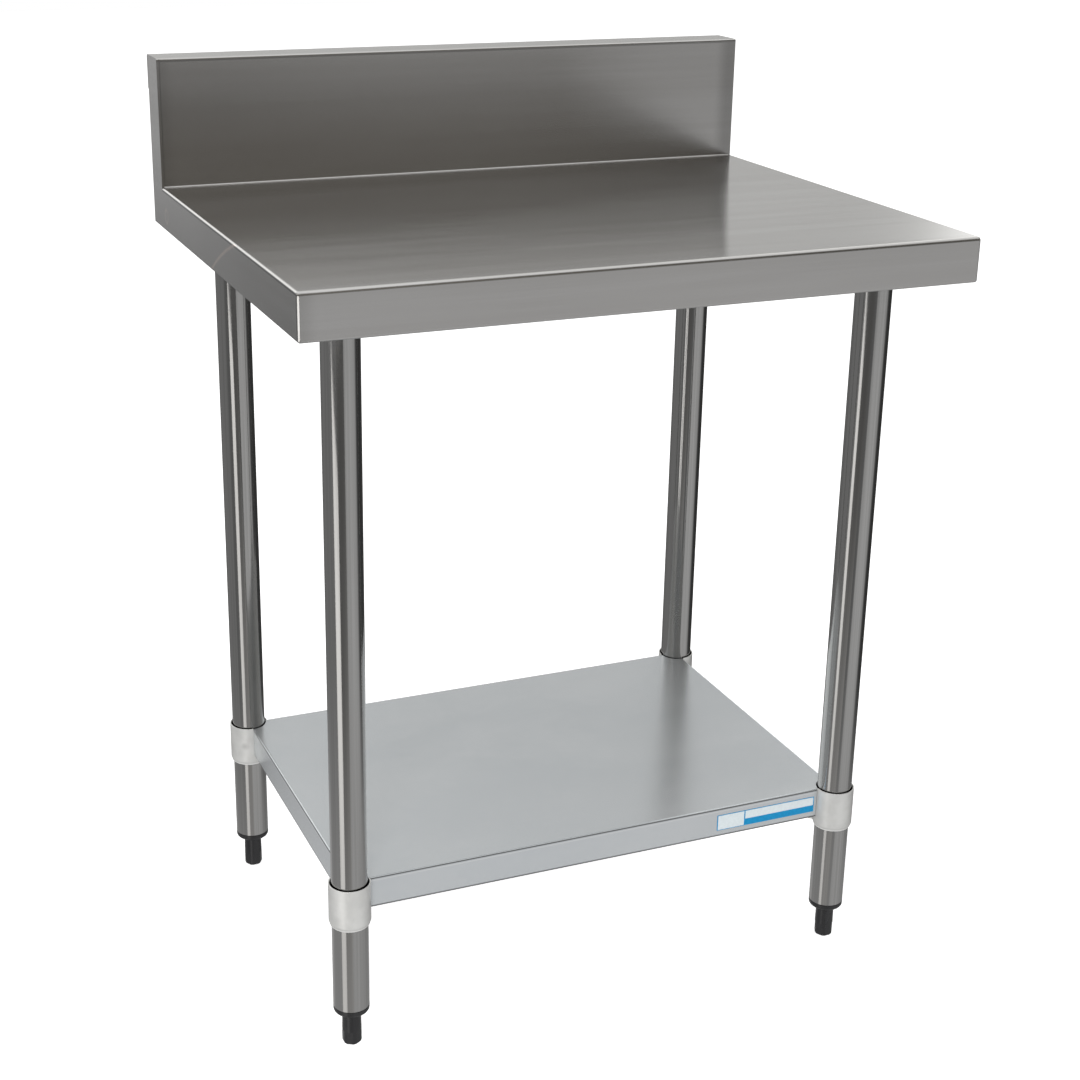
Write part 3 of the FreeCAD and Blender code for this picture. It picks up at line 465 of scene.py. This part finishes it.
def collar_dimple_shade(tree, place):
    """1 in the middle of the round ejector mark that every collar carries on one flank; painted shade
    darkens it.
    """
    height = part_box("shelf_collar_back_left")[0].z + DIMPLE_RISE
    mark = 0.0
    for index, corner in enumerate(CORNERS):
        middle_x, middle_y, _, _, leg_radius = axis_of(f"leg_{corner}")
        bearing = math.radians(DIMPLE_BEARING + 90 * index)
        away = leg_radius + COLLAR_WALL
        centre = (middle_x + away * math.sin(bearing), middle_y - away * math.cos(bearing), height)
        spot = tree.near(tree.distance(place, centre), 0.0, DIMPLE_RADIUS)
        mark = tree.math("MAXIMUM", mark, spot)
    return mark


def bore_shadow(tree, place):
    """1 on the bore around a leg, painted near-black as shade, 0 on the outside of the casting."""
    middle_x, front_y = axis_of("leg_front_left")[:2]
    back_y = axis_of("leg_back_left")[1]
    along_x, along_y, _ = tree.parts(place)
    from_x = tree.math("ADD", tree.math("ABSOLUTE", along_x), middle_x)
    from_y = tree.math("SUBTRACT", tree.gap(along_y, (front_y + back_y) / 2), (back_y - front_y) / 2)
    reach = tree.math("SQRT", tree.math("ADD", tree.product(from_x, from_x),
                                        tree.product(from_y, from_y)))
    return tree.math("LESS_THAN", reach, COLLAR_BORE + HAIR / 10)


def black_plastic():
    """Moulded black nylon with a soft sheen and faint scuffs."""
    material, tree, surface = new_material("black_nylon")
    place = tree.place()
    skin = tree.noise(place, scale=1200.0, detail=2.0)
    scuff = tree.noise(tree.stretch(place, (60.0, 60.0, 25.0)), detail=4.0, roughness=0.65)
    tree.feed(surface, "Base Color", tree.blend(tree.span(scuff, 0.45, 0.8, 0.0, 1.0),
                                                rgb(0.013, 0.013, 0.014), rgb(0.026, 0.026, 0.027)))
    tree.feed(surface, "Roughness", tree.span(scuff, 0.3, 0.7, 0.20, 0.30))
    tree.feed(surface, "Normal", tree.bump(skin, strength=0.15, distance=0.0001))
    return material


def plated_steel():
    """Zinc-plated fasteners."""
    material, tree, surface = new_material("zinc_plated_steel")
    film = tree.noise(tree.place(), scale=240.0)
    surface.inputs["Metallic"].default_value = 1.0
    tree.feed(surface, "Base Color", tree.blend(tree.span(film, 0.3, 0.7, 0.0, 1.0),
                                                rgb(0.55, 0.57, 0.58), rgb(0.66, 0.67, 0.66)))
    tree.feed(surface, "Roughness", tree.span(film, 0.3, 0.7, 0.26, 0.4))
    tree.feed(surface, "Normal", tree.bump(film, strength=0.1, distance=0.0002))
    return material


def label_film():
    """Blank film in a blue line: a pale panel, a divider, and a pale panel over a blue band."""
    material, tree, surface = new_material("blank_label_film")
    low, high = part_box("label_plate")
    place = tree.place()
    across, _, height = tree.parts(place)
    from_left = tree.span(across, low.x, high.x, 0.0, 1.0, smooth=False)
    from_low = tree.span(height, low.z, high.z, 0.0, 1.0, smooth=False)
    paper = tree.noise(place, scale=400.0, detail=2.0)
    fleck = tree.span(paper, 0.3, 0.7, 0.0, 1.0)
    pale = tree.blend(fleck, rgb(0.51, 0.56, 0.58), rgb(0.55, 0.60, 0.62))
    blue = tree.blend(fleck, rgb(0.006, 0.19, 0.39), rgb(0.009, 0.22, 0.44))
    right = tree.math("GREATER_THAN", from_left, LABEL_DIVIDER)
    band = tree.product(right, tree.math("LESS_THAN", from_low, LABEL_BAND))
    divider = tree.math("LESS_THAN", tree.gap(from_left, LABEL_DIVIDER), LABEL_DIVIDER_HALF)
    sides = tree.math("GREATER_THAN", tree.gap(from_left, 0.5), 0.5 - LABEL_BORDER_ACROSS)
    ends = tree.math("GREATER_THAN", tree.gap(from_low, 0.5), 0.5 - LABEL_BORDER_UP)
    printed = pale
    for mask in (band, divider, sides, ends):
        printed = tree.blend(mask, printed, blue)
    tree.feed(surface, "Base Color", printed)
    surface.inputs["Roughness"].default_value = 0.35
    surface.inputs["Specular IOR Level"].default_value = 0.2
    return material


def finish_nodes():
    """Give every CAD node the material of its slot."""
    finishes = {
        "stainless_sheet": stainless_sheet(),
        "stainless_tube": stainless_tube(),
        "channel_steel": galvanised_sheet("galvanised_channel", ()),
        "cast_socket": cast_aluminium("cast_socket", rgb(0.5, 0.5, 0.49), rgb(0.6, 0.6, 0.59),
                                      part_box("leg_socket_front_left")[0].z),
        "cast_collar": cast_aluminium("cast_collar", rgb(0.585, 0.585, 0.57), rgb(0.665, 0.665, 0.65),
                                      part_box("shelf_collar_front_left")[0].z + LIP_HIGHLIGHT_RISE),
        "black_plastic": black_plastic(),
        "plated_steel": plated_steel(),
        "label_face": label_film(),
        "galvanised_sheet": shelf_sheet(),
    }
    for part in frame["record"]["subparts"]:
        slots = nodes[part["node"]].data.materials
        for index in range(len(slots)):
            slots[index] = finishes[part["material_slot"]]
    return finishes


# ---------------------------------------------------------------- studio

def make_camera():
    data = bpy.data.cameras.new("camera")
    data.sensor_width = SENSOR
    data.lens = CAMERA_LENS
    data.shift_x, data.shift_y = CAMERA_SHIFT
    data.clip_start, data.clip_end = CLIP
    camera = bpy.data.objects.new("camera", data)
    scene.collection.objects.link(camera)
    forward = Vector((math.sin(CAMERA_YAW) * math.cos(CAMERA_PITCH),
                      math.cos(CAMERA_YAW) * math.cos(CAMERA_PITCH), math.sin(CAMERA_PITCH)))
    level = Vector((math.cos(CAMERA_YAW), -math.sin(CAMERA_YAW), 0.0))
    upright = level.cross(forward)
    right = math.cos(CAMERA_ROLL) * level + math.sin(CAMERA_ROLL) * upright
    up = -math.sin(CAMERA_ROLL) * level + math.cos(CAMERA_ROLL) * upright
    axes = Matrix((right, up, -forward)).transposed()
    camera.matrix_world = Matrix.Translation(CAMERA_PLACE) @ axes.to_4x4()
    scene.camera = camera


def make_floor():
    """Pale floor. Only the camera sees it: the metal reflects the studio around it instead."""
    mesh = bpy.data.meshes.new("floor")
    corners = [(side_x * FLOOR_HALF, side_y * FLOOR_HALF, 0.0)
               for side_x, side_y in ((-1, -1), (1, -1), (1, 1), (-1, 1))]
    mesh.from_pydata(corners, [], [(0, 1, 2, 3)])
    floor = bpy.data.objects.new("floor", mesh)
    scene.collection.objects.link(floor)
    floor.location.z = -FLOOR_GAP
    for ray in ("visible_glossy", "visible_diffuse", "visible_transmission", "visible_shadow"):
        setattr(floor, ray, False)
    material = bpy.data.materials.new("pale_floor")
    material.use_nodes = True
    tree = Tree(material.node_tree)
    matte = tree.add("ShaderNodeBsdfDiffuse", {"Color": grey(0.85)})
    glow = tree.add("ShaderNodeEmission", {"Color": grey(1.0), "Strength": FLOOR_GLOW})
    both = tree.add("ShaderNodeAddShader", {0: matte.outputs[0], 1: glow.outputs[0]})
    tree.add("ShaderNodeOutputMaterial", {0: both.outputs[0]})
    mesh.materials.append(material)


# Brightness of the studio by bearing in degrees (0 ahead of the table, positive to its left), for
# bands of rise: the floor close by, the floor further off, its far edge, and the walls above it.
NEAR_FLOOR = ((-180, 0.37), (-110, 0.34), (-78, 0.42), (-40, 0.49), (2, 0.49), (9, 0.37),
              (140, 0.37), (155, 0.50), (172, 0.50), (180, 0.37))
FAR_FLOOR = ((-180, 0.16), (-150, 0.05), (-84, 0.05), (-76, 0.12), (-64, 0.46), (-42, 0.57),
             (-14, 0.56), (2, 0.49), (9, 0.16), (70, 0.16), (80, 0.24), (145, 0.24), (158, 0.19),
             (163.5, 0.178), (167, 0.205), (180, 0.17))
FLOOR_EDGE = ((-180, 0.38), (-150, 0.2), (-130, 0.05), (-80, 0.05), (-60, 0.3), (-32, 0.37),
              (-20, 0.31), (-12, 0.22), (9, 0.10), (70, 0.10), (80, 0.2), (140, 0.22),
              (160, 0.37), (180, 0.38))
WALLS = ((-180, 0.70), (-150, 0.58), (-146, 0.51), (-144.6, 0.53), (-142.9, 1.5), (-120, 0.8),
         (-80, 0.3), (-34, 0.095), (-22, 0.172), (-10, 0.182), (60, 0.25), (110, 0.5),
         (150, 1.3), (170, 1.3), (180, 0.70))
CEILING = grey(1.0)

# Angles of rise between which one band fades into the next.
TO_FAR_FLOOR = (-31, -24)
TO_FLOOR_EDGE = (-12.5, -9)
TO_WALLS = (-5, 4)
TO_CEILING = (34, 62)

# Dark walls are warmer than bright ones; matte surfaces see the even light instead of the room.
WALL_SHADE = (0.2, 0.5)
WARM = rgb(1.0, 0.935, 0.835)
NEUTRAL = rgb(1.0, 1.0, 0.985)
EVEN_LIGHT = grey(0.68)
WHITE = grey(1.0)

# Name, place, aim, size and power of each soft light.
LIGHTS = (
    ("overhead", (-0.5, -0.3, 3.0), (0.0, 0.0, 0.6), (2.4, 1.8), 27.5),
    ("front_fill", (-1.4, -2.6, 1.2), (0.0, 0.0, 0.4), (1.2, 1.2), 72.0),
    ("left_fill", (-2.6, -0.6, 1.0), (0.0, 0.0, 0.3), (1.0, 1.0), 4.0),
)

# Upright cards beside the camera: the two ends of the lower edge, its height, the height of the
# upper edge at each end, and the brightness at two heights.
BRIGHT_STRIP = ((-1.205, -0.507), (-0.955, -0.893), -1.2, (0.585, 0.36), ((-0.8, 0.95), (0.2, 1.25)))
DARK_PANEL = ((-0.95, -0.90), (-0.36, -1.9), -1.6, (1.1, 1.1), ((-0.9, 0.40), (0.3, 0.13)))

# Cards round the top's front left corner, at bearings in degrees, too high for the legs to reflect.
EDGE_CARD_BEARINGS = (8, 30, 52, 74, 96)
EDGE_CARD_AWAY = 0.25
EDGE_CARD_LOW = 0.77
EDGE_CARD_HIGH = 0.86
EDGE_CARD_GLOW = 2.0


def around(tree, turn, stops):
    """Brightness by bearing: smooth between (bearing, brightness) stops."""
    ramp = tree.add("ShaderNodeValToRGB", {0: turn})
    ramp.color_ramp.interpolation = "EASE"
    marks = ramp.color_ramp.elements
    for at, value in stops[1:-1]:
        marks.new((at + 180) / 360).color = grey(value)
    marks[0].color = grey(stops[0][1])
    marks[-1].color = grey(stops[-1][1])
    return ramp.outputs[0]


def make_world():
    """The camera sees plain white, matte surfaces an even soft light, and the metal a room."""
    world = bpy.data.worlds.new("studio")
    scene.world = world
    world.use_nodes = True
    tree = Tree(world.node_tree)
    east, north, rise = tree.parts(tree.add("ShaderNodeTexCoord").outputs["Generated"])
    bearing = tree.math("ARCTAN2", tree.product(east, -1.0), tree.product(north, -1.0))
    turn = tree.span(bearing, -math.pi, math.pi, 0.0, 1.0, smooth=False)

    def change(lower, upper, angles):
        """Blend two bands between two angles of rise."""
        ends = [math.sin(math.radians(angle)) for angle in angles]
        return tree.blend(tree.span(rise, *ends, 0.0, 1.0), lower, upper)

    room = change(around(tree, turn, NEAR_FLOOR), around(tree, turn, FAR_FLOOR), TO_FAR_FLOOR)
    room = change(room, around(tree, turn, FLOOR_EDGE), TO_FLOOR_EDGE)
    walls = around(tree, turn, WALLS)
    tint = tree.blend(tree.span(walls, *WALL_SHADE, 0.0, 1.0), WARM, NEUTRAL)
    room = change(room, tree.blend(1.0, walls, tint, "MULTIPLY"), TO_WALLS)
    room = change(room, CEILING, TO_CEILING)
    path = tree.add("ShaderNodeLightPath")
    matte = tree.blend(path.outputs["Is Diffuse Ray"], room, EVEN_LIGHT)
    shown = tree.blend(path.outputs["Is Camera Ray"], matte, WHITE)
    glow = tree.add("ShaderNodeBackground", {"Color": shown})
    tree.add("ShaderNodeOutputWorld", {0: glow.outputs[0]})


def soft_light(name, place, aim, size, power):
    """Area light that neither the camera nor polished metal sees."""
    data = bpy.data.lights.new(name, "AREA")
    data.shape = "RECTANGLE"
    data.size, data.size_y = size
    data.energy = power
    light = bpy.data.objects.new(name, data)
    scene.collection.objects.link(light)
    light.location = place
    light.rotation_euler = (Vector(aim) - Vector(place)).to_track_quat("-Z", "Y").to_euler()
    light.visible_camera = False
    light.visible_glossy = False


def reflector(name, first_foot, last_foot, low, tops, stops):
    """Upright card that only polished surfaces see; it glows by height, smooth between stops."""
    mesh = bpy.data.meshes.new(name)
    outline = [(*first_foot, low), (*last_foot, low), (*last_foot, tops[1]), (*first_foot, tops[0])]
    mesh.from_pydata(outline, [], [(0, 1, 2, 3)])
    card = bpy.data.objects.new(name, mesh)
    scene.collection.objects.link(card)
    for ray in ("visible_camera", "visible_diffuse", "visible_transmission", "visible_shadow"):
        setattr(card, ray, False)
    material = bpy.data.materials.new(name)
    material.use_nodes = True
    tree = Tree(material.node_tree)
    height = tree.parts(tree.place())[2]
    (first, dim), (last, bright) = stops
    glow = tree.add("ShaderNodeEmission", {"Color": rgb(1.0, 0.985, 0.965),
                                           "Strength": tree.span(height, first, last, dim, bright)})
    tree.add("ShaderNodeOutputMaterial", {0: glow.outputs[0]})
    mesh.materials.append(material)


def make_reflectors():
    """A bright strip with a slanted upper end, a darker panel, and cards round the corner."""
    reflector("bright_strip", *BRIGHT_STRIP)
    reflector("dark_panel", *DARK_PANEL)
    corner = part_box("work_top")[0]
    bearings = [math.radians(angle) for angle in EDGE_CARD_BEARINGS]
    feet = [(corner.x - EDGE_CARD_AWAY * math.sin(bearing),
             corner.y - EDGE_CARD_AWAY * math.cos(bearing)) for bearing in bearings]
    tops = (EDGE_CARD_HIGH, EDGE_CARD_HIGH)
    stops = ((EDGE_CARD_LOW, EDGE_CARD_GLOW), (EDGE_CARD_HIGH, EDGE_CARD_GLOW))
    for index, (first_foot, last_foot) in enumerate(zip(feet, feet[1:])):
        reflector(f"edge_card_{index}", first_foot, last_foot, EDGE_CARD_LOW, tops, stops)


# ---------------------------------------------------------------- small hardware

def add_piece(name, shape, material, body, stands_for=()):
    """Turn a bmesh into a piece that rides on a body, smooth except at its sharp edges."""
    mesh = bpy.data.meshes.new(name)
    shape.to_mesh(mesh)
    shape.free()
    mesh.materials.append(material)
    mesh.shade_smooth()
    mesh.set_sharp_from_angle(angle=math.radians(SMOOTH_ANGLE))
    piece = bpy.data.objects.new(name, mesh)
    scene.collection.objects.link(piece)
    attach(piece, body)
    if stands_for:
        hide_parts(*stands_for)


def add_rows(shape, rows, shift=0):
    """Faces between closed rows of points; shift rows lie between the two ends of the seam."""
    grid = [[shape.verts.new(point) for point in row] for row in rows]
    steps = len(grid[0])
    for index in range(len(grid) - 1 - shift):
        for step in range(steps):
            ahead = index if step < steps - 1 else index + shift
            after = (step + 1) % steps
            shape.faces.new((grid[index][step], grid[ahead][after],
                             grid[ahead + 1][after], grid[index + 1][step]))
    return grid


def close_ends(shape):
    """Merge points that coincide and fill the open ends."""
    bmesh.ops.remove_doubles(shape, verts=shape.verts, dist=MERGE_DISTANCE)
    open_edges = [edge for edge in shape.edges if edge.is_boundary]
    bmesh.ops.holes_fill(shape, edges=open_edges, sides=0)
    bmesh.ops.recalc_face_normals(shape, faces=shape.faces)


def threaded_stud(corner, material):
    """Stud with a rolled thread cut square and chamfered at both ends."""
    middle_x, middle_y, low, high, radius = axis_of(f"foot_stud_{corner}")
    turns = math.ceil((high - low) / THREAD_PITCH) + 1
    rows = []
    for turn in range(-1, turns):
        for share, sink in THREAD_FLANK:
            row = []
            for step in range(RING_STEPS):
                part = step / RING_STEPS
                height = min(max(low + (turn + share + part) * THREAD_PITCH, low), high)
                to_end = min(height - low, high - height)
                reach = min(radius - sink, radius - THREAD_CHAMFER + to_end)
                angle = math.tau * part
                row.append((middle_x + reach * math.cos(angle),
                            middle_y + reach * math.sin(angle), height))
            rows.append(row)
    shape = bmesh.new()
    add_rows(shape, rows, shift=len(THREAD_FLANK))
    close_ends(shape)
    add_piece(f"threaded_stud_{corner}", shape, material, f"levelling_foot_{corner}",
              [f"foot_stud_{corner}"])


def bolt_rings(seat, tip):
    """Radius, height and whether it is a hexagon, for every ring from the recess to the tip."""
    low = seat - BOLT_HEAD_RISE
    rings = [(BOLT_KEY * 0.5, low + BOLT_KEY_DEPTH + BOLT_KEY_CONE, False),
             (BOLT_KEY, low + BOLT_KEY_DEPTH, True),
             (BOLT_KEY, low + BOLT_KEY_LEAD, True),
             (BOLT_KEY * BOLT_KEY_MOUTH, low, False)]
    for step in range(BOLT_DOME_STEPS):
        turn = math.radians(BOLT_DOME_FIRST + BOLT_DOME_STEP * step)
        rise = BOLT_DOME_RISE * (1 - math.cos(turn))
        rings.append((BOLT_HEAD * math.sin(turn), low + rise, False))
    return rings + [(BOLT_HEAD, seat - BOLT_RIM_RISE, False),
                    (BOLT_HEAD - BOLT_RIM_CHAMFER, seat, False),
                    (BOLT_SHANK, seat, False),
                    (BOLT_SHANK, tip - BOLT_TIP_CHAMFER, False),
                    (BOLT_SHANK - BOLT_TIP_CHAMFER, tip, False)]


def button_bolt(shape, middle_x, middle_y, seat, tip):
    """Bolt with a domed head below its seat, a hexagon recess in the head and a shank above."""
    half_side = math.radians(30)
    rows = []
    for radius, height, is_hexagon in bolt_rings(seat, tip):
        row = []
        for step in range(RING_STEPS):
            angle = math.tau * step / RING_STEPS
            reach = radius
            if is_hexagon:
                reach *= math.cos(half_side) / math.cos(angle % (2 * half_side) - half_side)
            row.append((middle_x + reach * math.cos(angle), middle_y + reach * math.sin(angle), height))
        rows.append(row)
    grid = add_rows(shape, rows)
    shape.faces.new(grid[0])
    shape.faces.new(reversed(grid[-1]))


def make_bolts(material):
    """The four bolts of every leg socket."""
    low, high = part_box("socket_bolts")
    seat = low.z + BOLT_HEAD_RISE
    shape = bmesh.new()
    for corner in CORNERS:
        middle_x, middle_y = axis_of(f"leg_{corner}")[:2]
        for side_x in (-1, 1):
            for side_y in (-1, 1):
                button_bolt(shape, middle_x + side_x * BOLT_SPREAD, middle_y + side_y * BOLT_SPREAD,
                            seat, high.z)
    bmesh.ops.recalc_face_normals(shape, faces=shape.faces)
    add_piece("button_head_bolts", shape, material, "table_frame", ["socket_bolts"])


def weld_bead(shape, start, along, across):
    """Short rippled bead in the corner between a flange edge and the sheet above it."""
    rows = []
    for index in range(WELD_ROWS + 1):
        share = index / WELD_ROWS
        ripple = 1 - abs(math.sin(WELD_RIPPLES * math.pi * share))
        taper = math.sqrt(max(0.0, 1 - (2 * share - 1) ** WELD_TAPER))
        swell = WELD_RADIUS * (1 - WELD_RIPPLE_DEPTH * ripple) * min(1.0, taper + WELD_END)
        centre = start + along * (WELD_LENGTH * share)
        row = []
        for step in range(WELD_STEPS):
            angle = math.tau * step / WELD_STEPS
            row.append(centre + across * (swell * math.cos(angle))
                       + Vector((0.0, 0.0, WELD_FLATNESS * swell * math.sin(angle))))
        rows.append(row)
    grid = add_rows(shape, rows)
    shape.faces.new(grid[0])
    shape.faces.new(reversed(grid[-1]))


def weld_metal():
    """Bright rippled weld with straw and blue heat tint."""
    material, tree, surface = new_material("weld_bead")
    tint = tree.noise(tree.place(), scale=160.0, detail=2.0)
    colour = tree.blend(tree.span(tint, 0.35, 0.6, 0.0, 1.0), rgb(0.56, 0.50, 0.40),
                        rgb(0.40, 0.42, 0.50))
    surface.inputs["Metallic"].default_value = 1.0
    tree.feed(surface, "Base Color", colour)
    tree.feed(surface, "Roughness", tree.span(tint, 0.3, 0.7, 0.28, 0.4))
    return material


def make_welds():
    """Stitch welds along the flanges of the hat channels, under the deck."""
    shape = bmesh.new()
    along_x, along_y = Vector((1.0, 0.0, 0.0)), Vector((0.0, 1.0, 0.0))
    for node, along, across in (("cross_channel_left", along_y, along_x),
                                ("cross_channel_right", along_y, along_x),
                                ("middle_channel", along_x, along_y)):
        low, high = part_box(node)
        room = (high - low).dot(along) - WELD_LENGTH
        for index in range(WELD_COUNT):
            offset = room * (index + WELD_FIRST) / (WELD_COUNT - 1 + 2 * WELD_FIRST)
            for edge, side in ((low, -1.0), (high, 1.0)):
                start = along * (low.dot(along) + offset) + across * edge.dot(across)
                start.z = high.z - WELD_BELOW_DECK
                weld_bead(shape, start, along, across * side)
    bmesh.ops.recalc_face_normals(shape, faces=shape.faces)
    add_piece("stitch_welds", shape, weld_metal(), "table_frame")


def make_hardware(finishes):
    for corner in CORNERS:
        threaded_stud(corner, finishes["plated_steel"])
    make_bolts(finishes["plated_steel"])
    make_welds()


scene.view_settings.view_transform = "Standard"
make_camera()
make_floor()
make_world()
for light_settings in LIGHTS:
    soft_light(*light_settings)
make_reflectors()
make_hardware(finish_nodes())
